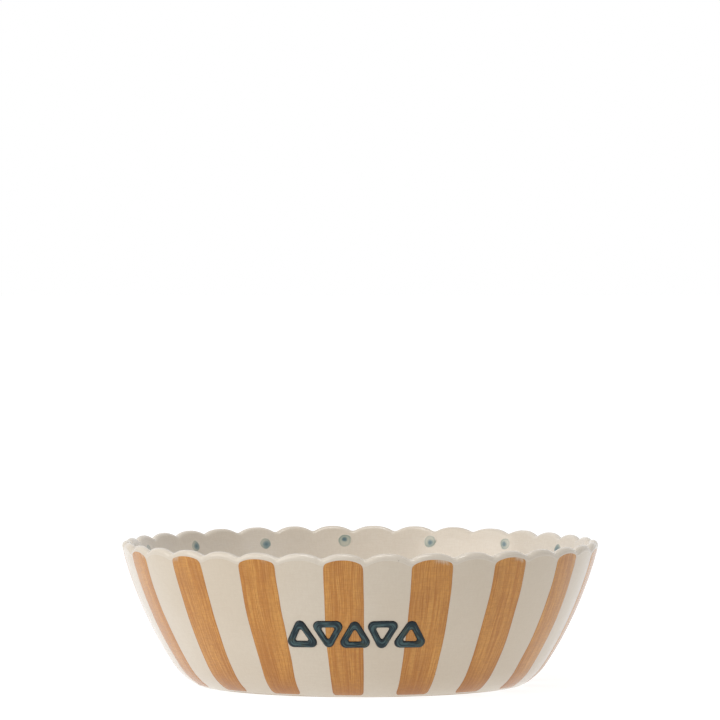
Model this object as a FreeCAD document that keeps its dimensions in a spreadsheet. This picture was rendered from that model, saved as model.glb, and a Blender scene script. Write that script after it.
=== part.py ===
import FreeCAD, Part
import Sketcher
import math
import os

# A round stoneware serving bowl with a scalloped rim, in millimetres.
# +Z is up, the origin is the middle of the foot, and the relief marks face -Y.
# The fired clay is one piece. On it lie a cream glaze coat inside and outside,
# painted stripes between the outer coat's edges, painted dots let into the inner
# coat, and a row of small raised marks on the front.

SIZES = {
    "rim_radius": 127.6,      # outer wall carried up to the top of the scallops
    "bowl_height": 77.0,
    "wall_thick": 5.0,        # clay and both coats together
    "section_curve": 204.0,   # radius of the outer wall's curve, seen in section
    "curve_height": 123.0,    # height of that curve's centre
    "corner_height": 12.0,    # where the wall curve turns into the foot curve
    "corner_curve": 35.0,
    "foot_inner": 79.0,
    "foot_recess": 1.2,
    "floor_height": 7.0,
    "floor_fillet": 7.0,
    "coat_thick": 0.5,
    "coat_foot": 0.7,         # the glaze stops this far above the table
    "coat_top": 71.9,         # and at the underside of the lip band
    "scallop_count": 34,
    "scallop_depth": 2.6,
    "notch_half": 11.0,       # half the width of one notch at the top of the lip
    "valley_round": 3.5,
    "lip_round": 2.1,
    "scallop_turn": 1.5,      # the first notch, to the right of the front, in degrees
    "stripe_angle": 10.3,     # width of a stripe around the bowl, in degrees
    "stripe_margin": 0.5,     # cream left above and below a stripe
    "stripe_corner": 4.0,
    "dot_radius": 2.9,
    "mark_inradius": 5.8,     # centre of a triangular mark to its sides
    "mark_stroke": 3.6,
    "mark_corner": 3.0,
    "mark_relief": 1.0,
    "mark_height": 34.8,      # height of the marks' mid line
    "mark_pitch": 7.22,       # from mark to mark around the bowl, in degrees
    "mark_turn": -1.05,       # middle mark, to the right of the front, in degrees
}

MARK_COUNT = 5
FULL_TURN = 360
THROUGH_ALL = 1               # the Pocket type that cuts to the far side
TOUCH = 0.01                  # how near counts as the same height, when edges are chosen
MARGIN = 1                    # how far a cutter stands clear of what it cuts

# Dot rings on the floor: name, ring radius, count, angle of the first dot.
FLOOR_RINGS = (
    ("floor_dot_centre", 0.0, 1, 0.0),
    ("floor_dots_ring_1", 16.5, 4, 43.0),
    ("floor_dots_ring_2", 37.0, 8, 19.0),
    ("floor_dots_ring_3", 58.0, 16, 13.0),
    ("floor_dots_ring_4", 80.0, 16, 1.5),
)

# Dot rows on the wall, from the floor up: name, height, count, first angle.
WALL_ROWS = (
    ("wall_dots_row_1", 12.5, 16, 16.0),
    ("wall_dots_row_2", 29.0, 16, 4.8),
    ("wall_dots_row_3", 46.0, 16, 16.0),
    ("wall_dots_row_4", 68.8, 16, 3.6),
)

UP = FreeCAD.Vector(0, 0, 1)

doc = FreeCAD.newDocument("serving_bowl")
sizes = doc.addObject("Spreadsheet::Sheet", "sizes")
for row, (alias, value) in enumerate(SIZES.items(), start=1):
    sizes.set(f"A{row}", alias)
    sizes.set(f"B{row}", str(value))
    sizes.setAlias(f"B{row}", alias)
doc.recompute()


# Formulas of the bowl's section. Each is text that the sketches are bound to.
# An inset draws a surface inwards, square to the outer wall.

SECTION_AXIS = ("(sizes.rim_radius - sqrt(sizes.section_curve^2"
                " - (sizes.curve_height - sizes.bowl_height)^2))")
CORNER_SHARE = "((sizes.section_curve - sizes.corner_curve) / sizes.section_curve)"


def wall_radius(inset, height):
    """Radius of the wall's curve at a height."""
    return (f"({SECTION_AXIS} + sqrt((sizes.section_curve - {inset})^2"
            f" - (sizes.curve_height - {height})^2))")


CORNER_X = (f"({SECTION_AXIS} + ({wall_radius('0', 'sizes.corner_height')}"
            f" - {SECTION_AXIS}) * {CORNER_SHARE})")
CORNER_Z = ("(sizes.curve_height - (sizes.curve_height - sizes.corner_height)"
            f" * {CORNER_SHARE})")


def corner_radius(inset, height):
    """Radius of the foot curve at a height."""
    return (f"({CORNER_X} + sqrt((sizes.corner_curve - {inset})^2"
            f" - ({CORNER_Z} - {height})^2))")


def corner_start(inset):
    """The point where the wall's curve meets the foot curve."""
    share = f"((sizes.section_curve - {inset}) / sizes.section_curve)"
    radius = wall_radius("0", "sizes.corner_height")
    return (f"({SECTION_AXIS} + ({radius} - {SECTION_AXIS}) * {share})",
            f"(sizes.curve_height - (sizes.curve_height - sizes.corner_height) * {share})")


def floor_round(depth):
    """Where the inner wall meets the floor's round, and where that meets the floor.

    depth is how far the surface lies under the inner coat's.
    """
    curve = f"(sizes.section_curve - sizes.wall_thick + {depth})"
    fillet = f"(sizes.floor_fillet + {depth})"
    level = f"(sizes.floor_height - {depth})"
    centre_z = f"({level} + {fillet})"
    reach = f"sqrt(({curve} - {fillet})^2 - (sizes.curve_height - {centre_z})^2)"
    share = f"({curve} / ({curve} - {fillet}))"
    wall_end = (f"({SECTION_AXIS} + {reach} * {share})",
                f"(sizes.curve_height - (sizes.curve_height - {centre_z}) * {share})")
    return wall_end, (f"({SECTION_AXIS} + {reach})", level)


def number(formula):
    return float(sizes.evalExpression(formula))


def bind(thing, path, formula):
    thing.setExpression(path, formula)


def plane_of(body, role):
    return next(item for item in body.Origin.OriginFeatures if item.Role == role)


def arc_between(start, end, radius, side):
    """Arc from start to end, its centre on the left for side 1, on the right for -1."""
    chord = end - start
    middle = (start + end) * 0.5
    left = FreeCAD.Vector(-chord.y, chord.x, 0).normalize()
    centre = middle + left * (side * math.sqrt(radius ** 2 - chord.Length ** 2 / 4))
    angles = [math.atan2(p.y - centre.y, p.x - centre.x) for p in (start, end)]
    first, last = angles if side > 0 else reversed(angles)
    return Part.ArcOfCircle(Part.Circle(centre, UP, radius), first, last)


def draw(sketch, corners, arcs):
    """Add a closed outline whose every corner and radius is bound to the sheet.

    corners are pairs of formulas. arcs gives the runs that are round, by the number
    of their first corner: the radius formula, and 1 or -1 for the centre's side.
    """
    points = [FreeCAD.Vector(number(x), number(y), 0) for x, y in corners]
    ends = []
    for run, start in enumerate(points):
        end = points[(run + 1) % len(points)]
        if run in arcs:
            radius, side = arcs[run]
            index = sketch.addGeometry(arc_between(start, end, number(radius), side))
            ends.append((index, 1, 2) if side > 0 else (index, 2, 1))
            name = sketch.addConstraint(
                Sketcher.Constraint("Radius", index, number(radius)))
            bind(sketch, f"Constraints[{name}]", radius)
        else:
            index = sketch.addGeometry(Part.LineSegment(start, end))
            ends.append((index, 1, 2))
    for run, (index, first, _) in enumerate(ends):
        before, _, last = ends[run - 1]
        sketch.addConstraint(Sketcher.Constraint("Coincident", before, last, index, first))
        for kind, formula in zip(("DistanceX", "DistanceY"), corners[run]):
            name = sketch.addConstraint(
                Sketcher.Constraint(kind, -1, 1, index, first, number(formula)))
            bind(sketch, f"Constraints[{name}]", formula)


def new_sketch(body, name, *outlines):
    """A sketch on the body's XZ plane, with one or more closed outlines."""
    sketch = body.newObject("Sketcher::SketchObject", name)
    sketch.AttachmentSupport = (plane_of(body, "XZ_Plane"), [""])
    sketch.MapMode = "FlatFace"
    doc.recompute()
    for corners, arcs in outlines:
        draw(sketch, corners, arcs)
    return sketch


def new_body(label):
    body = doc.addObject("PartDesign::Body", label)
    body.Label = label
    return body


def revolve(body, sketch):
    """Turn a sketch all the way round the bowl's axis."""
    turned = body.newObject("PartDesign::Revolution", sketch.Name + "_turned")
    turned.Profile = sketch
    turned.ReferenceAxis = (sketch, ["V_Axis"])
    turned.Angle = FULL_TURN
    doc.recompute()
    return turned


def turn(thing, angle):
    """Turn a finished piece about the bowl's axis by a formula in degrees."""
    bind(thing, "Placement.Rotation.Angle", angle)


def fillet(body, base, chosen, radius):
    """Round the chosen edges of the base feature."""
    names = [f"Edge{i}" for i, edge in enumerate(base.Shape.Edges, start=1) if chosen(edge)]
    rounded = body.newObject("PartDesign::Fillet", f"{base.Name}_round")
    rounded.Base = (base, names)
    bind(rounded, "Radius", radius)
    doc.recompute()
    return rounded


def meet(kind, label, base, tool):
    """A Part::Common or Part::Cut of two objects."""
    result = doc.addObject(kind, label)
    result.Base = base
    result.Tool = tool
    return result


def is_line(edge):
    return isinstance(edge.Curve, (Part.Line, Part.LineSegment))


# The fired clay: floor, curved wall, lip band and foot ring.

def clay_section():
    wall_end, floor_end = floor_round("sizes.coat_thick")
    inner = "(sizes.wall_thick - sizes.coat_thick)"
    corners = [
        ("0", "sizes.foot_recess"),
        ("sizes.foot_inner", "sizes.foot_recess"),
        ("(sizes.foot_inner + sizes.foot_recess)", "0"),
        (corner_radius("sizes.coat_thick", "0"), "0"),
        corner_start("sizes.coat_thick"),
        (wall_radius("sizes.coat_thick", "sizes.coat_top"), "sizes.coat_top"),
        (wall_radius("0", "sizes.coat_top"), "sizes.coat_top"),
        ("sizes.rim_radius", "sizes.bowl_height"),
        (wall_radius("sizes.wall_thick", "sizes.bowl_height"), "sizes.bowl_height"),
        (wall_radius("sizes.wall_thick", "sizes.coat_top"), "sizes.coat_top"),
        (wall_radius(inner, "sizes.coat_top"), "sizes.coat_top"),
        wall_end,
        floor_end,
        ("0", floor_end[1]),
    ]
    arcs = {
        3: ("(sizes.corner_curve - sizes.coat_thick)", 1),
        4: ("(sizes.section_curve - sizes.coat_thick)", 1),
        6: ("sizes.section_curve", 1),
        8: ("(sizes.section_curve - sizes.wall_thick)", -1),
        10: (f"(sizes.section_curve - {inner})", -1),
        11: ("(sizes.floor_fillet + sizes.coat_thick)", -1),
    }
    return corners, arcs


def notch_outline():
    """One valley of the rim: two crest arcs meeting in a small round valley."""
    reach = "((sizes.notch_half^2 + sizes.scallop_depth^2) / (2 * sizes.scallop_depth))"
    crest = f"({reach} - sizes.valley_round)"
    side = f"(sizes.notch_half * sizes.valley_round / {reach})"
    level = (f"(sizes.bowl_height - {crest}"
             f" + ({reach} - sizes.scallop_depth) * {crest} / {reach})")
    above = f"(sizes.bowl_height + {MARGIN})"
    corners = [
        ("(0 - sizes.notch_half)", above),
        ("(0 - sizes.notch_half)", "sizes.bowl_height"),
        (f"(0 - {side})", level),
        (side, level),
        ("sizes.notch_half", "sizes.bowl_height"),
        ("sizes.notch_half", above),
    ]
    return corners, {1: (crest, -1), 2: ("sizes.valley_round", 1), 3: (crest, -1)}


def on_lip(edge):
    """True for the edges that run along the scalloped top, not across it."""
    lowest = number("sizes.bowl_height - sizes.scallop_depth") - TOUCH
    return edge.BoundBox.ZMin > lowest and not is_line(edge)


def make_clay():
    body = new_body("stoneware_body")
    blank = revolve(body, new_sketch(body, "clay_section", clay_section()))
    notch = body.newObject("PartDesign::Pocket", "notch")
    notch.Profile = new_sketch(body, "notch_outline", notch_outline())
    notch.Type = THROUGH_ALL
    notch.Reversed = True
    doc.recompute()
    if notch.Shape.Volume >= blank.Shape.Volume:
        raise RuntimeError("the notch removes nothing")
    scallops = body.newObject("PartDesign::PolarPattern", "scallops")
    scallops.Originals = [notch]
    scallops.Axis = (plane_of(body, "Z_Axis"), [""])
    scallops.Angle = FULL_TURN
    bind(scallops, "Occurrences", "sizes.scallop_count")
    body.Tip = scallops
    doc.recompute()
    body.Tip = fillet(body, scallops, on_lip, "sizes.lip_round")
    turn(body, "sizes.scallop_turn")
    return body


# The outer coat and the stripes let into it.

def coat_section(bottom, top):
    corners = [
        (corner_radius("sizes.coat_thick", bottom), bottom),
        (corner_radius("0", bottom), bottom),
        corner_start("0"),
        (wall_radius("0", top), top),
        (wall_radius("sizes.coat_thick", top), top),
        corner_start("sizes.coat_thick"),
    ]
    arcs = {
        1: ("sizes.corner_curve", 1),
        2: ("sizes.section_curve", 1),
        4: ("(sizes.section_curve - sizes.coat_thick)", -1),
        5: ("(sizes.corner_curve - sizes.coat_thick)", -1),
    }
    return corners, arcs


def prism(label, length, *outlines):
    """A body that runs straight from the bowl's axis to the front, -Y."""
    body = new_body(label)
    pad = body.newObject("PartDesign::Pad", label + "_pad")
    pad.Profile = new_sketch(body, label + "_outline", *outlines)
    bind(pad, "Length", length)
    doc.recompute()
    return body, pad


def runs_to_front(edge):
    """True for the edges along a prism, which reach from the axis to the front."""
    return edge.BoundBox.YLength > number("sizes.rim_radius") - TOUCH


def stripe_outline():
    """A stripe as seen from the front: a tall shape, narrower at the foot."""
    low = "(sizes.coat_foot + sizes.stripe_margin)"
    high = "(sizes.coat_top - sizes.stripe_margin)"
    low_half = f"({corner_radius('0', low)} * sin(sizes.stripe_angle / 2))"
    high_half = f"({wall_radius('0', high)} * sin(sizes.stripe_angle / 2))"
    corners = [
        (f"(0 - {low_half})", low),
        (low_half, low),
        (high_half, high),
        (f"(0 - {high_half})", high),
    ]
    return corners, {}


def stripe_prism(place):
    """A stripe's cutter, on the middle of every other scallop.

    Whole scallop numbers are the notches, so a scallop's middle is half a number off.
    """
    body, pad = prism(f"stripe_prism_{place + 1:02d}", "sizes.rim_radius", stripe_outline())
    body.Tip = fillet(body, pad, runs_to_front, "sizes.stripe_corner")
    scallop = 2 * place - 0.5
    turn(body, f"sizes.scallop_turn + ({scallop}) * {FULL_TURN} / sizes.scallop_count")
    return body


def make_outside():
    """The outer coat with a window for every stripe, and the stripes that fill them."""
    blank = new_body("outer_coat_blank")
    revolve(blank, new_sketch(blank, "outer_coat_section",
                              coat_section("sizes.coat_foot", "sizes.coat_top")))
    prisms = [stripe_prism(place) for place in range(SIZES["scallop_count"] // 2)]
    stripes = [meet("Part::Common", f"stripe_{place:02d}", blank, tool)
               for place, tool in enumerate(prisms, start=1)]
    windows = doc.addObject("Part::Compound", "stripe_windows")
    windows.Links = prisms
    return [meet("Part::Cut", "outer_glaze", blank, windows)] + stripes


# The inner coat and the dots let into it.

def inner_section():
    under_wall, under_floor = floor_round("sizes.coat_thick")
    wall_end, floor_end = floor_round("0")
    inner = "(sizes.wall_thick - sizes.coat_thick)"
    corners = [
        ("0", under_floor[1]),
        under_floor,
        under_wall,
        (wall_radius(inner, "sizes.coat_top"), "sizes.coat_top"),
        (wall_radius("sizes.wall_thick", "sizes.coat_top"), "sizes.coat_top"),
        wall_end,
        floor_end,
        ("0", floor_end[1]),
    ]
    arcs = {
        1: ("(sizes.floor_fillet + sizes.coat_thick)", 1),
        2: (f"(sizes.section_curve - {inner})", 1),
        4: ("(sizes.section_curve - sizes.wall_thick)", -1),
        5: ("sizes.floor_fillet", -1),
    }
    return corners, arcs


def dot_cutter(name, point, outward):
    """A short cylinder through the coat, centred on a point of its surface."""
    cutter = doc.addObject("Part::Cylinder", name)
    bind(cutter, "Radius", "sizes.dot_radius")
    bind(cutter, "Height", "4 * sizes.coat_thick")
    start = point - outward * number("2 * sizes.coat_thick")
    cutter.Placement = FreeCAD.Placement(start, FreeCAD.Rotation(UP, outward))
    return cutter


def floor_place(radius, angle):
    point = FreeCAD.Vector(radius * math.cos(angle), radius * math.sin(angle),
                           number("sizes.floor_height"))
    return point, UP


def wall_place(height, angle):
    radius = number(wall_radius("sizes.wall_thick", str(height)))
    away = FreeCAD.Vector(radius - number(SECTION_AXIS), 0,
                          height - number("sizes.curve_height")).normalize()
    turned = FreeCAD.Rotation(UP, math.degrees(angle))
    return turned.multVec(FreeCAD.Vector(radius, 0, height)), turned.multVec(away)


def make_dots(blank, label, place, size, count, first):
    """One ring of dots as a group of separate solids."""
    cutters = []
    for i in range(count):
        angle = math.radians(first + i * FULL_TURN / count)
        cutters.append(dot_cutter(f"{label}_cutter_{i + 1}", *place(size, angle)))
    tool = doc.addObject("Part::Compound", label + "_cutters")
    tool.Links = cutters
    return meet("Part::Common", label, blank, tool), tool


def make_inside():
    blank = new_body("inner_coat_blank")
    revolve(blank, new_sketch(blank, "inner_coat_section", inner_section()))
    rings = [make_dots(blank, name, floor_place, *rest) for name, *rest in FLOOR_RINGS]
    rings += [make_dots(blank, name, wall_place, *rest) for name, *rest in WALL_ROWS]
    windows = doc.addObject("Part::Compound", "dot_windows")
    windows.Links = [tool for _, tool in rings]
    glaze = meet("Part::Cut", "inner_glaze", blank, windows)
    return [glaze] + [dots for dots, _ in rings]


# Raised marks: a row of plain rounded triangles, every other one upside down.

def triangle(inradius, sign):
    """A triangle whose rounded outline, upright or upside down, is centred in height."""
    low = (f"(sizes.mark_height - {sign} * ({inradius} + sizes.mark_inradius / 2"
           " - sizes.mark_corner / 2))")
    high = f"({low} + {sign} * 3 * {inradius})"
    half = f"({inradius} * sqrt(3))"
    corners = [(f"(0 - {half})", low), (half, low), ("0", high)]
    return corners, {}


def relief_section():
    low = "(sizes.mark_height - 2 * sizes.mark_inradius)"
    high = "(sizes.mark_height + 2 * sizes.mark_inradius)"
    proud = "(0 - sizes.mark_relief)"
    corners = [
        (wall_radius("0", low), low),
        (wall_radius(proud, low), low),
        (wall_radius(proud, high), high),
        (wall_radius("0", high), high),
    ]
    arcs = {
        1: ("(sizes.section_curve + sizes.mark_relief)", 1),
        3: ("sizes.section_curve", -1),
    }
    return corners, arcs


def make_mark(relief, place):
    sign = 1 if place % 2 == 0 else -1
    hole = "(sizes.mark_inradius - sizes.mark_stroke)"
    body, pad = prism(f"mark_prism_{place + 1}", "sizes.rim_radius",
                      triangle("sizes.mark_inradius", sign), triangle(hole, sign))

    def outer_corner(edge):
        middle = edge.CenterOfMass
        far = math.hypot(middle.x, middle.z - number("sizes.mark_height"))
        return runs_to_front(edge) and far > number("sizes.mark_inradius")

    body.Tip = fillet(body, pad, outer_corner, "sizes.mark_corner")
    turn(body, f"sizes.mark_turn + ({place} - ({MARK_COUNT} - 1) / 2) * sizes.mark_pitch")
    return meet("Part::Common", f"front_mark_{place + 1}", relief, body)


def make_marks():
    relief = new_body("relief_blank")
    revolve(relief, new_sketch(relief, "relief_section", relief_section()))
    return [make_mark(relief, place) for place in range(MARK_COUNT)]


def check(parts):
    for thing in doc.Objects:
        if "Invalid" in thing.State or "Error" in thing.State:
            raise RuntimeError(f"{thing.Name} failed: {thing.State}")
    for thing in parts:
        if thing.Shape.isNull() or not thing.Shape.isValid() or not thing.Shape.Solids:
            raise RuntimeError(f"{thing.Label} has no valid solid")


nodes = [make_clay()] + make_outside() + make_inside() + make_marks()
doc.recompute()
check(nodes)

os.makedirs("parts", exist_ok=True)
for node in nodes:
    node.Shape.exportStep(f"parts/{node.Label}.step")
    box = node.Shape.optimalBoundingBox()
    print(f"{node.Label}: {len(node.Shape.Solids)} solids, {node.Shape.Volume:.1f} mm3,"
          f" z {box.ZMin:.2f} to {box.ZMax:.2f}, reach {box.XMax:.2f}")
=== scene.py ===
import math

import bpy
import numpy as np
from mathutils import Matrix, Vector


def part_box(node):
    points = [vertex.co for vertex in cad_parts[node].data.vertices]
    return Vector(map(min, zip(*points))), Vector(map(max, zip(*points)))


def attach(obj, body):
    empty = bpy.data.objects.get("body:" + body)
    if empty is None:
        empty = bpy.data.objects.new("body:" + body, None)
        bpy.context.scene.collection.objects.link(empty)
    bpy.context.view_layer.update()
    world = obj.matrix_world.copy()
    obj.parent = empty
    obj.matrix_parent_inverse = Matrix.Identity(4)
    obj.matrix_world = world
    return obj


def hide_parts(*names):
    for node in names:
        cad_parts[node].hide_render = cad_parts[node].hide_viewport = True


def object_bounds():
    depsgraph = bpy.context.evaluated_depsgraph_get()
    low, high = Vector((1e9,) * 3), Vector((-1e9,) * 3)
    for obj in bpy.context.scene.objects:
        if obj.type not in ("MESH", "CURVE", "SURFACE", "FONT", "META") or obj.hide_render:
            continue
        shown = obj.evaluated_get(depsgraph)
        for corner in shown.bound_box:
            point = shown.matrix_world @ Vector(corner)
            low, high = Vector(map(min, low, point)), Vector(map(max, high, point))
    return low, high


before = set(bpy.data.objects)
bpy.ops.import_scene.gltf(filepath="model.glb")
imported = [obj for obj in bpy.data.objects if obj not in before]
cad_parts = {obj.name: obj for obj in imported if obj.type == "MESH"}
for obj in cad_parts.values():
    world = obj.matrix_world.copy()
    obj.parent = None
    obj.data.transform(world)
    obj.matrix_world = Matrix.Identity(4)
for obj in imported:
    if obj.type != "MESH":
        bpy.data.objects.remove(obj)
cad_low, cad_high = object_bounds()

# ---------------------------------------------------------------- dimensions
# Metres. Radii and heights come from the frame; the section's curves are the clay's.

MM = 0.001
HEIGHT = cad_high.z
RIM_RADIUS = (cad_high.x - cad_low.x) / 2
coat_low, coat_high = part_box("outer_glaze")

CURVE = 204 * MM             # radius of the outer wall's curve, seen in section
CURVE_Z = 123 * MM           # height of that curve's centre
CURVE_R = coat_high.x - math.sqrt(CURVE ** 2 - (CURVE_Z - coat_high.z) ** 2)
CORNER = 35 * MM             # radius of the curve from the wall into the foot
CORNER_TOP = 12 * MM         # where the two curves meet
SHARE = (CURVE - CORNER) / CURVE
CORNER_Z = CURVE_Z - (CURVE_Z - CORNER_TOP) * SHARE
CORNER_R = CURVE_R + math.sqrt(CURVE ** 2 - (CURVE_Z - CORNER_TOP) ** 2) * SHARE
WALL = 5 * MM                # thickness with both coats
COAT = 0.5 * MM
FLOOR_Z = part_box("floor_dot_centre")[1].z
FILLET = 7 * MM              # round between floor and wall
FOOT_INNER = 79 * MM
FOOT_RECESS = 1.2 * MM

SCALLOPS = 34
PITCH = math.tau / SCALLOPS
FRONT = -math.pi / 2
VALLEY = FRONT + math.radians(1.5)     # the first valley, right of the front
DEPTH = 2.6 * MM                       # of a valley below the crests
CREST_HALF = 11 * MM                   # from a valley to where the crest is level
VALLEY_ROUND = 3.5 * MM
LIP = 2.45 * MM                        # radius of the rolled lip
BEAD = 3.9 * MM                        # the lip band's height on the outside
PROUD = 0.03 * MM                      # how far the band stands out
TUCKED = 0.02 * MM                     # how far its foot lies under the outer coat
STRIPE_END = 2.8 * MM                  # a stripe ends this far below the crest
COAT_END = 3.2 * MM                    # the inner coat ends this far below the crest
STEPS = 20                             # mesh columns to a scallop

# Hand-made unevenness, as waves round the bowl: how many, how large, and their phase.
RIM_WAVES = ((4, 0.10, 1), (9, 0.07, 2))                   # a share of a valley's depth
OVAL_WAVES = ((2, 0.16, 0.7), (3, 0.09, 2.1))              # mm of radius at the rim
TURN_WAVES = ((5, 0.0045, 0.4), (11, 0.003, 2))            # radians round the bowl
LINE_WAVES = ((5, 0.15, 0), (13, 0.10, 1), (29, 0.06, 2))  # mm of the glaze line's height
# Slanting ones: how many round the bowl, radians to a metre up, mm of radius, phase.
SLANT_WAVES = ((7, 90, 0.035, 1), (11, -140, 0.03, 0))
SAG = 0.003                            # share of the height lost by hand, at most twice this
SAG_PHASE = 1.4
NECK = 0.10                            # mm that the outside draws in under the lip band
NECK_BELOW = 5 * MM                    # where that is deepest, below the rim
NECK_WIDE = 1.6 * MM
STEADY_LOW, STEADY_HIGH = 20 * MM, 80 * MM    # radii between which the unevenness grows
FLARE = 0.16 * MM                      # how far the inside opens out under the lip
FLARE_LOW = 6.4 * MM                   # where that starts, below the rim
RINGS_AT, RINGS_WIDE = 80 * MM, 7 * MM        # the fine turning rings at the floor's edge
RINGS_WAVE = 0.62 * MM                 # their spacing over 2 pi
RINGS_HIGH = 0.014 * MM


# ------------------------------------------------------------------ surfaces

def smooth(low, high, x):
    t = np.clip((x - low) / (high - low), 0, 1)
    return t * t * (3 - 2 * t)


def waves(theta, table, start=0.0):
    """start plus each wave of a table, at an angle."""
    total = start
    for count, size, phase in table:
        total = total + size * np.sin(count * theta + phase)
    return total


def drop(theta):
    """How far the rim dips below its crests at an angle, a little less or more by hand."""
    away = np.abs((theta - VALLEY + PITCH / 2) % PITCH - PITCH / 2) * RIM_RADIUS
    reach = (CREST_HALF ** 2 + DEPTH ** 2) / (2 * DEPTH)
    crest = reach - VALLEY_ROUND
    turn = CREST_HALF * VALLEY_ROUND / reach
    low = DEPTH - VALLEY_ROUND + np.sqrt(np.maximum(VALLEY_ROUND ** 2 - away ** 2, 0))
    rest = np.minimum(CREST_HALF - away, CREST_HALF)
    high = crest - np.sqrt(crest ** 2 - np.maximum(rest, 0) ** 2)
    return np.where(away < turn, low, high) * waves(theta, RIM_WAVES, 1)


def outside(z, inset=0.0):
    """Radius of the outer surface at a height, drawn inwards by inset."""
    wall = CURVE_R + np.sqrt((CURVE - inset) ** 2 - (CURVE_Z - z) ** 2)
    foot = CORNER_R + np.sqrt(np.maximum((CORNER - inset) ** 2 - (CORNER_Z - z) ** 2, 0))
    return np.where(z < CORNER_TOP, foot, wall)


def outward(z):
    """The outer surface's normal at a height, as its radial and upward parts."""
    r = outside(z)
    low = z < CORNER_TOP
    nr = np.where(low, (r - CORNER_R) / CORNER, (r - CURVE_R) / CURVE)
    nz = np.where(low, (z - CORNER_Z) / CORNER, (z - CURVE_Z) / CURVE)
    return nr, nz


INNER = CURVE - WALL
FLOOR_R = CURVE_R + math.sqrt((INNER - FILLET) ** 2 - (CURVE_Z - FLOOR_Z - FILLET) ** 2)
LEAN = math.acos((CURVE_Z - FLOOR_Z - FILLET) / (INNER - FILLET))   # of the wall's foot
FILLET_RUN = FILLET * LEAN
START = LEAN - math.pi / 2                                          # wall angle at its foot


def inside(s):
    """Radius, height and normal of the inner surface, s metres out from the centre."""
    bend = np.clip((s - FLOOR_R) / FILLET, 0, LEAN)
    climb = START + np.maximum(s - FLOOR_R - FILLET_RUN, 0) / INNER
    on_wall = s > FLOOR_R + FILLET_RUN
    r = np.where(on_wall, CURVE_R + INNER * np.cos(climb),
                 np.minimum(s, FLOOR_R) + FILLET * np.sin(bend))
    z = np.where(on_wall, CURVE_Z + INNER * np.sin(climb),
                 FLOOR_Z + FILLET * (1 - np.cos(bend)))
    turned = np.where(on_wall, climb + math.pi / 2, bend)
    r = r + FLARE * smooth(HEIGHT - FLARE_LOW, HEIGHT - COAT_END, z)
    rings = np.exp(-((s - RINGS_AT) / RINGS_WIDE) ** 2) * np.sin(s / RINGS_WAVE)
    return r, z + RINGS_HIGH * rings, -np.sin(turned), np.cos(turned)


def wall_run(z):
    """The inside run that reaches a height on the wall."""
    return FLOOR_R + FILLET_RUN + INNER * (np.arcsin((z - CURVE_Z) / INNER) - START)


def place(r, z, theta):
    """Points in the row frame, with the slight unevenness of a hand-finished bowl."""
    up = z / HEIGHT
    uneven = waves(theta, OVAL_WAVES) * up
    uneven += sum(size * np.sin(count * theta + slant * z + phase)
                  for count, slant, size, phase in SLANT_WAVES)
    below = HEIGHT - drop(theta) - z
    neck = NECK * np.exp(-((below - NECK_BELOW) / NECK_WIDE) ** 2)
    r = r + (uneven - neck) * MM * smooth(STEADY_LOW, STEADY_HIGH, r)
    tall = 1 - SAG * up * (1 + np.sin(2 * theta + SAG_PHASE))
    theta = waves(theta, TURN_WAVES, theta)
    return np.stack([r * np.cos(theta), r * np.sin(theta), z * tall], axis=-1)


# -------------------------------------------------------------------- meshes

def make_mesh(name, points, faces, material, slot, nodes, **attributes):
    """A smooth closed piece that rides on the bowl and stands for CAD nodes."""
    mesh = bpy.data.meshes.new(name)
    mesh.from_pydata(points.tolist(), [], faces)
    mesh.polygons.foreach_set("use_smooth", np.ones(len(faces), bool))
    for key, values in attributes.items():
        layer = mesh.attributes.new(key, "FLOAT_VECTOR", "POINT")
        layer.data.foreach_set("vector", values.astype(np.float32).ravel())
    mesh.materials.append(material)
    piece = bpy.data.objects.new(name, mesh)
    bpy.context.scene.collection.objects.link(piece)
    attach(piece, "root")
    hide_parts(*nodes)
    return piece


def grid_faces(rows, columns, wrap_rows=False, wrap_columns=False, start=0):
    """Quads between neighbours of a grid of vertices, row after row."""
    j, i = np.meshgrid(np.arange(rows - (not wrap_rows)),
                       np.arange(columns - (not wrap_columns)), indexing="ij")
    j2, i2 = (j + 1) % rows, (i + 1) % columns
    quads = np.stack([j * columns + i, j * columns + i2, j2 * columns + i2,
                      j2 * columns + i], axis=-1)
    return (quads.reshape(-1, 4) + start).tolist()


def spun(points, poles):
    """Vertices and faces of rings of points, outermost index the ring.

    With poles, the first and last rings are closed by a middle vertex; without, the last
    ring joins the first.
    """
    rings, columns = points.shape[:2]
    flat = points.reshape(-1, 3)
    faces = grid_faces(rings, columns, wrap_rows=not poles, wrap_columns=True)
    if poles:
        count = len(flat)
        flat = np.concatenate([flat, points[:1].mean(axis=1), points[-1:].mean(axis=1)])
        last = (rings - 1) * columns
        for i in range(columns):
            j = (i + 1) % columns
            faces.append([count, j, i])
            faces.append([count + 1, last + i, last + j])
    return flat, faces


def columns():
    """Angles all round, with a column on every valley and crest."""
    return VALLEY + np.arange(SCALLOPS * STEPS) * PITCH / STEPS


def stacked(*rows):
    """Rows of radius, height pairs, all brought to one ring of columns."""
    theta = columns()
    r = np.stack([np.broadcast_to(row[0], theta.shape) for row in rows])
    z = np.stack([np.broadcast_to(row[1], theta.shape) for row in rows])
    return place(r, z, theta)


# ----------------------------------------------------------------- materials

GLAZE_BUMP = 0.05 * MM


def add(tree, kind, *values, **settings):
    """A node with its inputs linked or set in order; None leaves one alone."""
    made = tree.nodes.new("ShaderNode" + kind)
    for key, value in settings.items():
        setattr(made, key, value)
    for socket, value in zip(made.inputs, values):
        if isinstance(value, bpy.types.NodeSocket):
            tree.links.new(value, socket)
        elif value is not None:
            socket.default_value = value
    return made


def calc(tree, operation, *values):
    return add(tree, "Math", *values, operation=operation).outputs[0]


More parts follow.
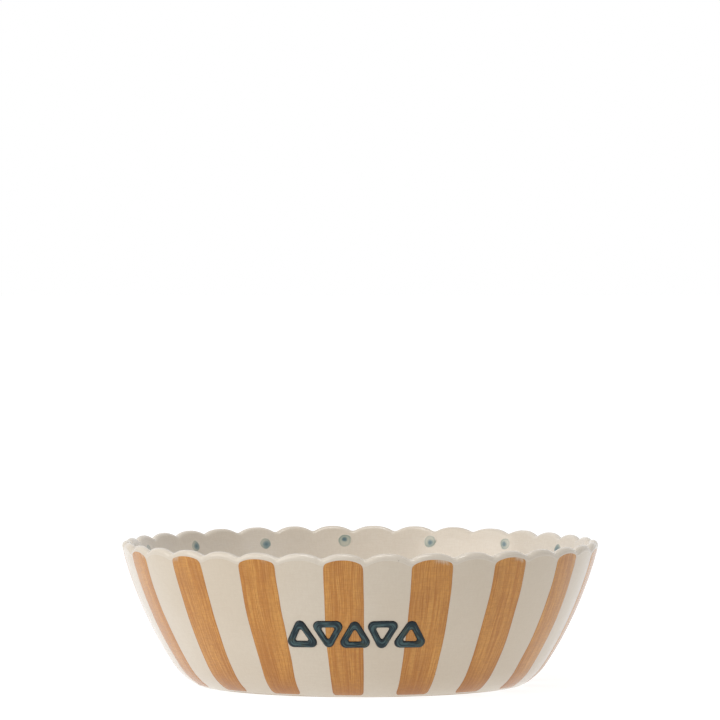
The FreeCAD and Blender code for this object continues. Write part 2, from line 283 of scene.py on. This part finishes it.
def noise(tree, vector, scale, detail=2.0, rough=0.5):
    made = add(tree, "TexNoise", vector)
    made.inputs["Scale"].default_value = scale
    made.inputs["Detail"].default_value = detail
    made.inputs["Roughness"].default_value = rough
    return made.outputs["Fac"]


def stretched(tree, vector, x, y, z):
    return add(tree, "VectorMath", vector, (x, y, z), operation="MULTIPLY").outputs[0]


def span(tree, value, low, high, out_low=0.0, out_high=1.0):
    """value from low to high becomes out_low to out_high, and is held beyond."""
    made = add(tree, "MapRange", value, low, high, out_low, out_high,
               interpolation_type="SMOOTHSTEP")
    return made.outputs[0]


def blend(tree, factor, first, second):
    """Two colours mixed; each is a socket or a linear (r, g, b)."""
    made = tree.nodes.new("ShaderNodeMix")
    made.data_type = "RGBA"
    for index, value in ((0, factor), (6, first), (7, second)):
        socket = made.inputs[index]
        if isinstance(value, bpy.types.NodeSocket):
            tree.links.new(value, socket)
        else:
            socket.default_value = (*value, 1) if index else value
    return made.outputs[2]


def new_material(name, roughness=0.2, coat=0.0):
    material = bpy.data.materials.new(name)
    material.use_nodes = True
    tree = material.node_tree
    shader = tree.nodes["Principled BSDF"]
    shader.inputs["Roughness"].default_value = roughness
    shader.inputs["IOR"].default_value = 1.5
    shader.inputs["Coat Weight"].default_value = coat
    shader.inputs["Coat Roughness"].default_value = 0.06
    return material, tree, shader


def finish_surface(tree, shader, colour, height, depth=GLAZE_BUMP, rough=None):
    """Link the colour, the bump of a height at a depth, and the roughness if it varies."""
    tree.links.new(colour, shader.inputs["Base Color"])
    bump = add(tree, "Bump")
    bump.inputs["Strength"].default_value = 1.0
    bump.inputs["Distance"].default_value = depth
    tree.links.new(height, bump.inputs["Height"])
    tree.links.new(bump.outputs[0], shader.inputs["Normal"])
    if rough is not None:
        tree.links.new(rough, shader.inputs["Roughness"])


CREAM_LIGHT = (0.77, 0.68, 0.555)
CREAM_WARM = (0.725, 0.62, 0.485)
INSIDE_LIGHT = (0.835, 0.765, 0.67)
INSIDE_WARM = (0.80, 0.715, 0.605)
CREAM_FLOOR = (0.74, 0.685, 0.61)
CREAM_SPECK = (0.30, 0.20, 0.12)
CREAM_SHADE = (0.60, 0.49, 0.36)     # in the fine grain and between the threads
# lip band white: glaze breaking thin on the edge, partly a painted highlight from above
LIP_WHITE_AND_HIGHLIGHT = (0.86, 0.82, 0.76)
LIP_SHARE = 0.28                     # of LIP_WHITE_AND_HIGHLIGHT over the cream
SAND_LIGHT = (0.62, 0.50, 0.37)
SAND_DARK = (0.50, 0.385, 0.27)


def cloth(tree, where):
    """The faint woven look of the brushed base coat, about 0.5."""
    threads = noise(tree, stretched(tree, where, 950, 950, 190), 1, 1)
    rows = noise(tree, stretched(tree, where, 190, 190, 1900), 1, 1)
    return calc(tree, "MULTIPLY", calc(tree, "ADD", threads, rows), 0.5)


def cream(tree, where, inside_bowl=False):
    """The cream glaze's colour and fine height, from the place on the bowl."""
    clouds = noise(tree, where, 14, 2, 0.5)
    fine = noise(tree, where, 1400, 2, 0.6)
    weave = cloth(tree, where)
    light, warm = (INSIDE_LIGHT, INSIDE_WARM) if inside_bowl else (CREAM_LIGHT, CREAM_WARM)
    colour = blend(tree, span(tree, clouds, 0.3, 0.7), light, warm)
    if inside_bowl:
        up = add(tree, "SeparateXYZ", where).outputs[2]
        colour = blend(tree, span(tree, up, 7.5 * MM, 13 * MM, 0.8, 0.0), colour, CREAM_FLOOR)
    colour = blend(tree, span(tree, fine, 0.25, 0.75, 0.0, 0.10), colour, CREAM_SHADE)
    colour = blend(tree, span(tree, weave, 0.38, 0.62, 0.0, 0.13), colour, CREAM_SHADE)
    cells = add(tree, "TexVoronoi", where)
    cells.inputs["Scale"].default_value = 95
    speck = span(tree, cells.outputs["Distance"], 0.018, 0.035, 1.0, 0.0)
    rare = span(tree, noise(tree, where, 60, 0), 0.62, 0.68)
    colour = blend(tree, calc(tree, "MULTIPLY", speck, rare), colour, CREAM_SPECK)
    ripple = noise(tree, where, 34, 2, 0.5)
    height = calc(tree, "MULTIPLY_ADD", weave, 0.22, calc(tree, "MULTIPLY", ripple, 2.2))
    return colour, height


def glaze_material(name, inside_bowl):
    material, tree, shader = new_material(name, 0.2, 0.35)
    where = add(tree, "TexCoord").outputs["Object"]
    colour, height = cream(tree, where, inside_bowl)
    gloss = span(tree, noise(tree, where, 120, 2), 0.3, 0.7, 0.16, 0.27)
    finish_surface(tree, shader, colour, height, rough=gloss)
    return material


def clay_material():
    """Glazed and whiter on the lip's bead; bare, matt and sandier on the foot.

    The bead's white is partly the glaze breaking thin on the edge, partly a painted highlight
    from above. The attribute's first part is 1 on the bead and 0 inside the bowl.
    """
    material, tree, shader = new_material("fired_clay", 0.3, 0.0)
    where = add(tree, "TexCoord").outputs["Object"]
    outer, height = cream(tree, where)
    inner, _ = cream(tree, where, inside_bowl=True)
    up = add(tree, "SeparateXYZ", where).outputs[2]
    bare = span(tree, up, 0.8 * MM, 1.4 * MM, 1.0, 0.0)
    grit = noise(tree, where, 2200, 2, 0.7)
    sand = blend(tree, span(tree, grit, 0.35, 0.7), SAND_LIGHT, SAND_DARK)
    bead = add(tree, "SeparateXYZ", add(tree, "Attribute", attribute_name="bead")
               .outputs["Vector"]).outputs[0]
    # whiter lip band: partly thin glaze on the edge, partly a painted highlight from above
    lip = blend(tree, LIP_SHARE, outer, LIP_WHITE_AND_HIGHLIGHT)
    colour = blend(tree, bead, inner, lip)
    colour = blend(tree, bare, colour, sand)
    height = calc(tree, "ADD", height, calc(tree, "MULTIPLY", grit, bare))
    finish_surface(tree, shader, colour, height, rough=span(tree, bare, 0.0, 1.0, 0.16, 0.7))
    return material


OCHRE_LIGHT = (0.735, 0.352, 0.070)
OCHRE = (0.55, 0.210, 0.024)
OCHRE_DARK = (0.36, 0.115, 0.014)


def stripe_material():
    """Brushed ochre slip. The attribute holds across (-1 to 1), height and a seed."""
    material, tree, shader = new_material("ochre_slip", 0.22, 0.12)
    where = add(tree, "TexCoord").outputs["Object"]
    brush = add(tree, "Attribute", attribute_name="brush").outputs["Vector"]
    across, along, seed = add(tree, "SeparateXYZ", brush).outputs[:]
    sway = noise(tree, stretched(tree, brush, 1.2, 4, 11), 1, 1)
    hair = add(tree, "CombineXYZ", calc(tree, "MULTIPLY_ADD", sway, 0.16, across),
               along, seed).outputs[0]
    hairs = noise(tree, stretched(tree, hair, 21, 2.4, 37), 1, 3, 0.7)
    strokes = noise(tree, stretched(tree, hair, 3.4, 1.1, 19), 1, 1, 0.5)
    pools = noise(tree, stretched(tree, brush, 1.1, 3.2, 53), 1, 2, 0.5)
    tone = calc(tree, "ADD", calc(tree, "MULTIPLY", hairs, 0.78),
                calc(tree, "MULTIPLY", strokes, 0.22))
    colour = blend(tree, span(tree, tone, 0.40, 0.60), OCHRE, OCHRE_LIGHT)
    colour = blend(tree, span(tree, pools, 0.4, 0.7, 0.0, 0.28), colour, OCHRE_DARK)
    colour = blend(tree, span(tree, cloth(tree, where), 0.38, 0.62, 0.28, 0.0), colour,
                   OCHRE_DARK)
    side = calc(tree, "ABSOLUTE", across)
    colour = blend(tree, span(tree, side, 0.88, 0.985, 0.0, 0.45), colour, OCHRE_DARK)
    # darker towards the stripe's lower end: painted shade near the foot
    colour = blend(tree, span(tree, along, 0.0, 0.22, 0.42, 0.0), colour, OCHRE_DARK)
    ragged = calc(tree, "MULTIPLY_ADD", hairs, 0.07, along)
    bare_top = span(tree, noise(tree, stretched(tree, brush, 0.9, 0, 23), 1, 0), 0.54, 0.68)
    thin = calc(tree, "MULTIPLY", span(tree, ragged, 0.995, 1.03, 0.0, 0.7), bare_top)
    colour = blend(tree, thin, colour, CREAM_WARM)
    height = calc(tree, "MULTIPLY_ADD", cloth(tree, where), 0.3, hairs)
    finish_surface(tree, shader, colour, height)
    return material


DOT_WASH = (0.36, 0.41, 0.33)
DOT_RIM = (0.215, 0.285, 0.245)
DOT_BLUE = (0.135, 0.225, 0.24)
DOT_DEEP = (0.065, 0.14, 0.17)


def dot_material():
    """A brush dot: pale wash, thin rim, and a soft blue heart off its middle.

    The attribute dot holds the place in the dot, its edge at 1. The attribute tone
    holds the dot's strength, how far its heart is filled, and its heavier side.
    """
    material, tree, shader = new_material("blue_green_dots", 0.2, 0.35)
    where = add(tree, "TexCoord").outputs["Object"]
    ground, height = cream(tree, where, inside_bowl=True)
    dot = add(tree, "Attribute", attribute_name="dot").outputs["Vector"]
    tone = add(tree, "Attribute", attribute_name="tone").outputs["Vector"]
    strength, fill, turn = add(tree, "SeparateXYZ", tone).outputs[:]
    wobble = calc(tree, "MULTIPLY_ADD", noise(tree, where, 320, 1), 0.36, -0.18)
    far = calc(tree, "ADD", add(tree, "VectorMath", dot, operation="LENGTH").outputs[1], wobble)
    heavy = add(tree, "CombineXYZ", calc(tree, "COSINE", turn), calc(tree, "SINE", turn),
                0.0).outputs[0]
    lean = add(tree, "VectorMath", dot, heavy, operation="DOT_PRODUCT").outputs[1]
    heart = add(tree, "VectorMath", dot,
                add(tree, "VectorMath", heavy, (0.24, 0.24, 0.0),
                    operation="MULTIPLY").outputs[0], operation="SUBTRACT").outputs[0]
    near = calc(tree, "ADD", add(tree, "VectorMath", heart, operation="LENGTH").outputs[1],
                wobble)
    one_side = span(tree, lean, -0.9, 0.9, 0.35, 1.0)
    wash = blend(tree, calc(tree, "MULTIPLY", strength, span(tree, lean, -1, 1, 0.6, 1.0)),
                 ground, DOT_WASH)
    rim = calc(tree, "MULTIPLY", span(tree, far, 0.70, 0.96, 0.0, 0.85),
               calc(tree, "MULTIPLY", one_side, strength))
    wash = blend(tree, rim, wash, DOT_RIM)
    grown = calc(tree, "DIVIDE", near, calc(tree, "MULTIPLY_ADD", fill, 0.9, 0.55))
    blue = calc(tree, "MULTIPLY", span(tree, grown, 0.35, 1.0, 1.0, 0.0), strength)
    wash = blend(tree, blue, wash, DOT_BLUE)
    deep = calc(tree, "MULTIPLY", span(tree, near, 0.10, 0.50, 0.85, 0.0), strength)
    wash = blend(tree, deep, wash, DOT_DEEP)
    colour = blend(tree, span(tree, far, 0.93, 1.18, 1.0, 0.0), ground, wash)
    finish_surface(tree, shader, colour, height)
    return material


TEAL = (0.006, 0.022, 0.032)
# lighter teal of the brush streaks, also a painted highlight along the strokes' crown
TEAL_LIGHT = (0.060, 0.112, 0.120)
TEAL_OLIVE = (0.045, 0.055, 0.028)
TEAL_DEEP = (0.002, 0.006, 0.011)
MARK_BUMP = 0.15 * MM


def mark_material():
    """Dark teal brushed over raised clay. The attribute holds across (-1 to 1) and along."""
    material, tree, shader = new_material("dark_teal_marks", 0.26, 0.0)
    shader.inputs["Specular IOR Level"].default_value = 0.28
    stroke = add(tree, "Attribute", attribute_name="stroke").outputs["Vector"]
    side = calc(tree, "ABSOLUTE", add(tree, "SeparateXYZ", stroke).outputs[0])
    hairs = noise(tree, stretched(tree, stroke, 3.2, 45, 19), 1, 1, 0.5)
    patches = noise(tree, stretched(tree, stroke, 0.4, 90, 7), 1, 1)
    # brush streaks, and lighter on the stroke's crown: thin glaze there and a painted highlight
    streaks_and_crown_highlight = calc(tree, "ADD", hairs, span(tree, side, 0.0, 0.7, 0.07, 0.0))
    colour = blend(tree, span(tree, streaks_and_crown_highlight, 0.46, 0.68), TEAL, TEAL_LIGHT)
    colour = blend(tree, span(tree, patches, 0.5, 0.7, 0.0, 0.5), colour, TEAL_OLIVE)
    colour = blend(tree, span(tree, side, 0.5, 0.92, 0.0, 0.9), colour, TEAL_DEEP)
    finish_surface(tree, shader, colour, hairs, MARK_BUMP)
    return material


# ------------------------------------------------------------ bowl and coats

def under_inside(depth):
    """Rows at a depth under the inner surface, from high on the wall to near the middle."""
    foot = FLOOR_R + FILLET_RUN
    run = np.concatenate([np.linspace(float(wall_run(60 * MM)), foot, 12),
                          np.linspace(foot, FLOOR_R, 12)[1:], [60 * MM, 30 * MM]])
    r, z, nr, nz = inside(run)
    return list(zip(r - depth * nr, z - depth * nz))


def make_body(material):
    """The clay: foot ring, core under the coats, and the rolled scalloped lip."""
    theta = columns()
    top = HEIGHT - drop(theta)
    under = 0.3 * MM
    centre_z = top - LIP
    centre_r = outside(centre_z, WALL / 2)
    tilt = np.arctan2(CURVE_Z - centre_z, centre_r - CURVE_R)
    contact = float(outside(0.0, COAT)) - 0.8 * MM
    rows = [(r, FOOT_RECESS) for r in np.linspace(4 * MM, FOOT_INNER, 8)]
    rows += [(FOOT_INNER + FOOT_RECESS * (1 - math.cos(a)), FOOT_RECESS * (1 - math.sin(a)))
             for a in np.linspace(0.2, math.pi / 2, 6)]
    rows += [(r, 0.0) for r in np.linspace(FOOT_INNER + 2 * MM, contact, 4)]
    rows += [(outside(z, under) - 0.5 * MM * (1 - z / MM), z)
             for z in np.linspace(0.12 * MM, 1 * MM, 5)]
    rows += [(outside(z, under), z) for z in np.linspace(1.6, 60, 16) * MM]
    rows += [(outside(top - fall, under), top - fall)
             for fall in np.linspace(BEAD + 1.6 * MM, BEAD, 5)]
    start = len(rows)
    turns = np.linspace(0.02, math.pi - 0.02, 22)
    arc_fall = LIP * (1 + np.sin(tilt))
    for share in np.linspace(0.04, 0.96, 10):
        z = top - (BEAD + (arc_fall - BEAD) * share)
        rows.append((outside(z, TUCKED - (TUCKED + PROUD) * smooth(0.1, 0.9, share)), z))
    for a in turns:
        radius = LIP + (WALL / 2 - LIP + PROUD) * (1 + math.cos(a)) / 2
        rows.append((centre_r + radius * np.cos(a - tilt),
                     centre_z + radius * np.sin(a - tilt)))
    bead = np.zeros(len(rows))
    bead[start:] = 1
    bead[-len(turns):] = 0.5 + 0.5 * np.cos(np.minimum(turns * 1.25, math.pi))
    rows += [(outside(top - fall, WALL - 0.05 * MM), top - fall)
             for fall in np.linspace(2.9 * MM, 6.5 * MM, 7)]
    rows += [(outside(top - fall, WALL - under), top - fall)
             for fall in np.linspace(8 * MM, 10 * MM, 3)]
    rows += under_inside(under)
    rows.append((4 * MM, FLOOR_Z - under))
    points, faces = spun(stacked(*rows), poles=True)
    amount = np.zeros((len(points), 3))
    amount[:len(bead) * len(theta), 0] = np.repeat(bead, len(theta))
    make_mesh("clay_body", points, faces, material, "fired_clay", ["stoneware_body"],
              bead=amount)


def follow_rim(z, theta):
    """A height that is level low on the wall and follows the scallops near the rim."""
    return z - drop(theta) * smooth(48 * MM, 72 * MM, z)


def make_outer_coat(material):
    """Outer glaze, from its slightly wandering line above the foot up under the lip."""
    theta = columns()
    line = coat_low.z + MM * waves(theta, LINE_WAVES)
    top = HEIGHT - BEAD + 0.65 * MM
    rows = []
    for a in np.linspace(0, math.pi / 2, 5):
        z = line - 0.2 * MM * math.sin(2 * a)
        rows.append((outside(z, COAT * (1 - math.sin(a))), z))
    for t in np.append(np.linspace(0.012, 0.999, 62), 1):
        z = follow_rim(line + (top - line) * t, theta)
        rows.append((outside(z), z))
    for t in np.linspace(1, 0.02, 12):
        z = follow_rim(line + (top - line) * t, theta)
        rows.append((outside(z, COAT), z))
    points, faces = spun(stacked(*rows), poles=False)
    make_mesh("outer_coat", points, faces, material, "cream_glaze", ["outer_glaze"])


def make_inner_coat(material):
    """Inner glaze over floor and wall, up to the underside of the lip's inner edge."""
    theta = columns()
    reach = float(wall_run(HEIGHT - COAT_END))
    front = np.concatenate([np.linspace(reach, 100 * MM, 34), np.linspace(98, 70.4, 56) * MM,
                            np.linspace(70, 3, 14) * MM])
    rows = [(3 * MM, FLOOR_Z - COAT)] + under_inside(COAT)[::-1]
    for s in np.linspace(reach - 10 * MM, reach, 3):
        r, z, nr, nz = inside(s)
        rows.append((r - COAT * nr, z - COAT * nz - drop(theta) * smooth(60 * MM, 72 * MM, z)))
    for s in front:
        r, z, _, _ = inside(s)
        dip = drop(theta) * smooth(60 * MM, 72 * MM, z)
        slope = outside(z - dip, WALL) - outside(z, WALL) if z > 60 * MM else 0.0
        rows.append((r + slope, z - dip))
    points, faces = spun(stacked(*rows), poles=True)
    make_mesh("inner_coat", points, faces, material, "cream_glaze", ["inner_glaze"])


# --------------------------------------------------------- painted decoration

def lens(top, bottom):
    """A closed thin piece from two grids that share their outline."""
    rows, wide = top.shape[:2]
    points = np.concatenate([top.reshape(-1, 3), bottom.reshape(-1, 3)])
    faces = grid_faces(rows, wide)
    faces += [face[::-1] for face in grid_faces(rows, wide, start=rows * wide)]
    edge = [i for i in range(wide)] + [j * wide + wide - 1 for j in range(1, rows)]
    edge += [(rows - 1) * wide + i for i in range(wide - 2, -1, -1)]
    edge += [j * wide for j in range(rows - 2, 0, -1)]
    shift = rows * wide
    for a, b in zip(edge, edge[1:] + edge[:1]):
        faces.append([b, a, a + shift, b + shift])
    return points, faces


STRIPE_ROWS, STRIPE_COLUMNS = 84, 25
STRIPE_SHARE = 0.94              # of its scallop's width
STRIPE_WIDENS = 0.07             # towards the foot
STRIPE_CORNER_LOW = 2.0 * MM
STRIPE_CORNER_HIGH = 2.5 * MM
STRIPE_SINK = 0.2 * MM           # how far its back lies in the coat


def wander(rng, x, count, reach):
    """A smooth random line through x, made of a few waves."""
    total = np.zeros_like(x)
    for k in range(1, count + 1):
        total += rng.normal() / k * np.sin(math.tau * (k * x * 0.9 + rng.random()))
    return total * reach


def make_stripe(place_number, material, rng):
    """One brushed stripe: rounded ends, slightly wandering edges, standing just proud."""
    middle = VALLEY + (2 * place_number - 0.5) * PITCH
    number = f"{place_number + 1:02d}"
    low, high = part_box(f"stripe_{number}")[0].z, HEIGHT - STRIPE_END
    t = np.linspace(0, 1, STRIPE_ROWS)
    t = t - 0.85 * np.sin(math.tau * t) / math.tau
    z_line = low + (high - low) * t
    half_angle = STRIPE_SHARE * PITCH / 2 * (1 + STRIPE_WIDENS * (1 - t)) + rng.normal() * 0.0015
    for end, corner in ((z_line - low, STRIPE_CORNER_LOW), (high - z_line, STRIPE_CORNER_HIGH)):
        cut = np.maximum(corner - end, 0)
        half_angle = half_angle - (corner - np.sqrt(corner ** 2 - cut ** 2)) / outside(z_line)
    left = half_angle + wander(rng, t, 5, 0.0016)
    right = half_angle + wander(rng, t, 5, 0.0016)
    lean = wander(rng, t, 2, 0.0022) + rng.normal() * 0.0015
    u = np.linspace(-1, 1, STRIPE_COLUMNS)
    u = np.sign(u) * (1 - (1 - np.abs(u)) ** 1.35)
    theta = middle + lean[:, None] + np.where(u < 0, u * left[:, None], u * right[:, None])
    z = follow_rim(np.broadcast_to(z_line[:, None], theta.shape), theta)
    rim = np.minimum(1 - np.abs(u)[None, :] ** 14,
                     (1 - np.abs(2 * t - 1) ** 60)[:, None])
    proud = (-0.05 + 0.13 * np.clip(rim, 0, 1) ** 0.6) * MM
    nr, nz = outward(z)
    top = place(outside(z) + proud * nr, z + proud * nz, theta)
    bottom = place(outside(z) - STRIPE_SINK * nr, z - STRIPE_SINK * nz, theta)
    seed = rng.random() * 50
    brush = np.stack([np.broadcast_to(u, theta.shape),
                      np.broadcast_to(t[:, None], theta.shape),
                      np.full(theta.shape, seed)], axis=-1).reshape(-1, 3)
    points, faces = lens(top, bottom)
    make_mesh(f"painted_stripe_{number}", points, faces, material, "ochre_slip",
              [f"stripe_{number}"], brush=np.concatenate([brush, brush]))


# Name, ring radius on the floor or None on the wall, count, angle of the first dot.
DOT_RINGS = (
    ("floor_dot_centre", 0.0, 1, 0.0),
    ("floor_dots_ring_1", 16.5, 4, 43.0),
    ("floor_dots_ring_2", 37.0, 8, 19.0),
    ("floor_dots_ring_3", 58.0, 16, 13.0),
    ("floor_dots_ring_4", 80.0, 16, 1.5),
    ("wall_dots_row_1", None, 16, 16.0),
    ("wall_dots_row_2", None, 16, 4.8),
    ("wall_dots_row_3", None, 16, 16.0),
    ("wall_dots_row_4", None, 16, 3.6),
)
DOT_RADIUS = 2.9 * MM
DOT_SPREAD = 1.25           # a dot's piece reaches this far past its painted edge
DOT_SINK = 0.25 * MM        # how far its back lies in the coat
DOT_SPOKES, DOT_LOOPS = 28, 8


def middle_height(node):
    low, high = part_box(node)
    return (low.z + high.z) / 2


def dot_points(run, angle, radius):
    """One thin lens on the inner surface, with each vertex's place in the dot."""
    around = np.arange(DOT_SPOKES) * math.tau / DOT_SPOKES
    out = np.linspace(1 / DOT_LOOPS, 1, DOT_LOOPS)
    a = np.append((out[:, None] * np.cos(around)).ravel(), 0) * DOT_SPREAD
    b = np.append((out[:, None] * np.sin(around)).ravel(), 0) * DOT_SPREAD
    if run > FLOOR_R:
        s = run + b * radius
        theta = angle + a * radius / inside(run)[0]
    else:
        x = run * math.cos(angle) + radius * (b * math.cos(angle) - a * math.sin(angle))
        y = run * math.sin(angle) + radius * (b * math.sin(angle) + a * math.cos(angle))
        s, theta = np.hypot(x, y), np.arctan2(y, x)
    r, z, nr, nz = inside(s)
    far = np.append(np.repeat(out, DOT_SPOKES), 0)
    lift = (-0.03 + 0.075 * (1 - far ** 6)) * MM
    points = np.concatenate([place(r + lift * nr, z + lift * nz, theta),
                             place(r - DOT_SINK * nr, z - DOT_SINK * nz, theta)])
    centre = DOT_LOOPS * DOT_SPOKES
    count = centre + 1
    faces = grid_faces(DOT_LOOPS, DOT_SPOKES, wrap_columns=True)
    last = (DOT_LOOPS - 1) * DOT_SPOKES
    band = []
    for i in range(DOT_SPOKES):
        j = (i + 1) % DOT_SPOKES
        faces.append([centre, j, i])
        band.append([last + i, last + j, last + j + count, last + i + count])
    under = [[v + count for v in face[::-1]] for face in faces]
    spot = np.stack([a, b, np.zeros(count)], axis=-1)
    return points, faces + under + band, np.concatenate([spot, spot])


def make_dots(name, radius, count, first, material, rng):
    """A ring of painted dots as one piece, each a little off its place and size."""
    run = float(wall_run(middle_height(name))) if radius is None else radius * MM
    points, faces, spots, tones = [], [], [], []
    for i in range(count):
        angle = math.radians(first + i * 360 / count)
        off_run, off_side = rng.normal(size=2) * 0.45 * MM
        size = DOT_RADIUS * (1 + 0.07 * rng.normal())
        strength = 0.78 + 0.22 * rng.random()
        fill = rng.random() ** 2
        turn = rng.random() * math.tau
        found, quads, spot = dot_points(abs(run + off_run), angle + off_side / max(run, 10 * MM),
                                        size)
        start = sum(len(p) for p in points)
        faces += [[v + start for v in face] for face in quads]
        points.append(found)
        spots.append(spot)
        tones.append(np.tile((strength, fill, turn), (len(found), 1)))
    make_mesh("painted_" + name, np.concatenate(points), faces, material, "blue_green_dots",
              [name], dot=np.concatenate(spots), tone=np.concatenate(tones))


# --------------------------------------------------------------- raised marks

MARK_INRADIUS = 5.8 * MM
MARK_HOLE = 2.2 * MM              # the middle hole's inradius
MARK_HOLE_CORNER = 0.8 * MM
MARK_CORNER = 3.0 * MM
MARK_RELIEF = 1.0 * MM
MARK_PITCH = math.radians(7.22)
MARK_TURN = math.radians(-1.05)
MARK_COUNT = 5
MARK_SINK = 0.25 * MM             # how far its back lies in the coat
SIDE_POINTS, BEND_POINTS = 28, 16
FACE_POINTS = 15                  # across a mark's stroke
BACK = (0.9, 0.3, -0.3, -0.9)     # places across its back


def rounded_triangle(inradius, corner):
    """A rounded triangle, apex up, as equal numbers of points on each side and corner."""
    half_side = math.sqrt(3) * (inradius - corner)
    x, y = [], []
    for leg in range(3):
        spin = -math.pi / 2 + leg * math.tau / 3
        run = np.linspace(-half_side, half_side, SIDE_POINTS, endpoint=False)
        bend = np.linspace(0, math.tau / 3, BEND_POINTS, endpoint=False)
        out = np.append(np.full(SIDE_POINTS, inradius),
                        inradius - corner + corner * np.cos(bend))
        side = np.append(run, half_side + corner * np.sin(bend))
        x.append(out * math.cos(spin) - side * math.sin(spin))
        y.append(out * math.sin(spin) + side * math.cos(spin))
    return np.stack([np.concatenate(x), np.concatenate(y)], axis=-1)


def make_mark(number, material, rng):
    """A raised rounded triangle, like a small chip, with a soft crowned stroke."""
    flip = 1 if number % 2 == 0 else -1
    outer = rounded_triangle(MARK_INRADIUS, MARK_CORNER)
    inner = rounded_triangle(MARK_HOLE, MARK_HOLE_CORNER)
    loops = len(outer)
    along = np.arange(loops) / loops
    across = np.concatenate([np.linspace(-1, 1, FACE_POINTS), BACK])
    swell = 1 + 0.03 * np.sin(math.tau * (along + rng.random())) * rng.normal()
    swell += 0.02 * np.sin(2 * math.tau * (along + rng.random())) * rng.normal()
    share = (1 + across) / 2
    plan = inner[:, None] + (outer - inner)[:, None] * share[None, :, None]
    plan *= swell[:, None, None]
    rise = MARK_RELIEF * (1 - np.abs(across[:FACE_POINTS]) ** 3.2) ** 0.62 - 0.06 * MM
    lift = np.append(rise, np.full(len(BACK), -MARK_SINK)) * np.ones((loops, 1))
    level = middle_height(f"front_mark_{number + 1}")
    up = flip * (plan[..., 1] - (MARK_INRADIUS - MARK_CORNER) / 2)
    z = level + up
    nr, nz = outward(z)
    turn = FRONT + MARK_TURN + (number - (MARK_COUNT - 1) / 2) * MARK_PITCH
    theta = turn + plan[..., 0] / outside(z)
    points = place(outside(z) + lift * nr, z + lift * nz, theta)
    length = 6 * math.sqrt(3) * MARK_INRADIUS
    stroke = np.stack([np.broadcast_to(across, z.shape),
                       np.broadcast_to(np.abs(along * 2 - 1)[:, None] * length, z.shape),
                       np.full(z.shape, rng.random() * 40)], axis=-1)
    faces = grid_faces(loops, len(across), wrap_rows=True, wrap_columns=True)
    if flip < 0:
        faces = [face[::-1] for face in faces]
    make_mesh(f"raised_mark_{number + 1}", points.reshape(-1, 3), faces, material,
              "dark_teal_marks", [f"front_mark_{number + 1}"], stroke=stroke.reshape(-1, 3))


# --------------------------------------------------------- floor, light, camera

CAMERA_AWAY = 3.0
CAMERA_UP = math.radians(3.47)       # above the rim's middle
CAMERA_TILT = math.radians(-1.64)    # the bowl stands low in the picture
FIELD = math.radians(7.34)
FLOOR_REACH = 12
FLOOR_SEEN, FLOOR_LIGHTING = 0.88, 0.62      # emission: as seen, and as it lights the bowl
WORLD_SEEN, WORLD_LIGHTING = 1.0, 0.28


def make_camera():
    data = bpy.data.cameras.new("camera")
    data.sensor_width = 36
    data.lens = data.sensor_width / 2 / math.tan(FIELD / 2)
    data.clip_end = 50
    camera = bpy.data.objects.new("camera", data)
    bpy.context.scene.collection.objects.link(camera)
    camera.location = (0, -CAMERA_AWAY * math.cos(CAMERA_UP),
                       HEIGHT + CAMERA_AWAY * math.sin(CAMERA_UP))
    camera.rotation_euler = (math.pi / 2 + CAMERA_TILT, 0, 0)
    bpy.context.scene.camera = camera


def area_light(name, place_at, size, power, colour=(1, 1, 1)):
    """A softbox that faces the bowl."""
    data = bpy.data.lights.new(name, "AREA")
    data.shape = "RECTANGLE"
    data.size, data.size_y = size
    data.energy = power
    data.color = colour
    lamp = bpy.data.objects.new(name, data)
    bpy.context.scene.collection.objects.link(lamp)
    lamp.location = place_at
    aim = Vector((0, 0, HEIGHT / 2)) - lamp.location
    lamp.rotation_euler = aim.to_track_quat("-Z", "Y").to_euler()


def brighter_when_seen(tree, seen, lighting):
    """One strength for what the camera or a reflection sees, another for lighting."""
    rays = add(tree, "LightPath").outputs
    path = calc(tree, "MAXIMUM", rays["Is Camera Ray"], rays["Is Glossy Ray"])
    return calc(tree, "MULTIPLY_ADD", path, seen - lighting, lighting)


def make_studio():
    floor = bpy.data.meshes.new("floor")
    corners = [(x * FLOOR_REACH, y * FLOOR_REACH, 0)
               for x, y in ((-1, -1), (1, -1), (1, 1), (-1, 1))]
    floor.from_pydata(corners, [], [(0, 1, 2, 3)])
    stage = bpy.data.objects.new("floor", floor)
    bpy.context.scene.collection.objects.link(stage)
    material, tree, shader = new_material("pale_floor", 0.9)
    shader.inputs["Base Color"].default_value = (0.25, 0.25, 0.25, 1)
    shader.inputs["Emission Color"].default_value = (1, 1, 1, 1)
    tree.links.new(brighter_when_seen(tree, FLOOR_SEEN, FLOOR_LIGHTING),
                   shader.inputs["Emission Strength"])
    floor.materials.append(material)

    world = bpy.data.worlds.new("studio")
    bpy.context.scene.world = world
    world.use_nodes = True
    tree = world.node_tree
    tree.nodes["Background"].inputs[0].default_value = (1, 1, 1, 1)
    tree.links.new(brighter_when_seen(tree, WORLD_SEEN, WORLD_LIGHTING),
                   tree.nodes["Background"].inputs[1])

    area_light("key_left", (-1.7, -0.8, 1.0), (2.0, 1.7), 20, (1.0, 0.985, 0.96))
    area_light("fill_right", (1.8, -1.2, 0.9), (1.0, 1.0), 1.5)
    area_light("top", (0.0, -0.35, 1.8), (1.0, 0.7), 10.5)
    bpy.context.scene.view_settings.view_transform = "Standard"


# ---------------------------------------------------------------------- build

make_camera()
make_studio()
rng = np.random.default_rng(34)
make_body(clay_material())
make_outer_coat(glaze_material("cream_glaze_outside", inside_bowl=False))
make_inner_coat(glaze_material("cream_glaze_inside", inside_bowl=True))
slip = stripe_material()
for stripe_number in range(SCALLOPS // 2):
    make_stripe(stripe_number, slip, rng)
paint = dot_material()
for ring_name, ring_radius, ring_count, ring_first in DOT_RINGS:
    make_dots(ring_name, ring_radius, ring_count, ring_first, paint, rng)
teal = mark_material()
for mark_number in range(MARK_COUNT):
    make_mark(mark_number, teal, rng)
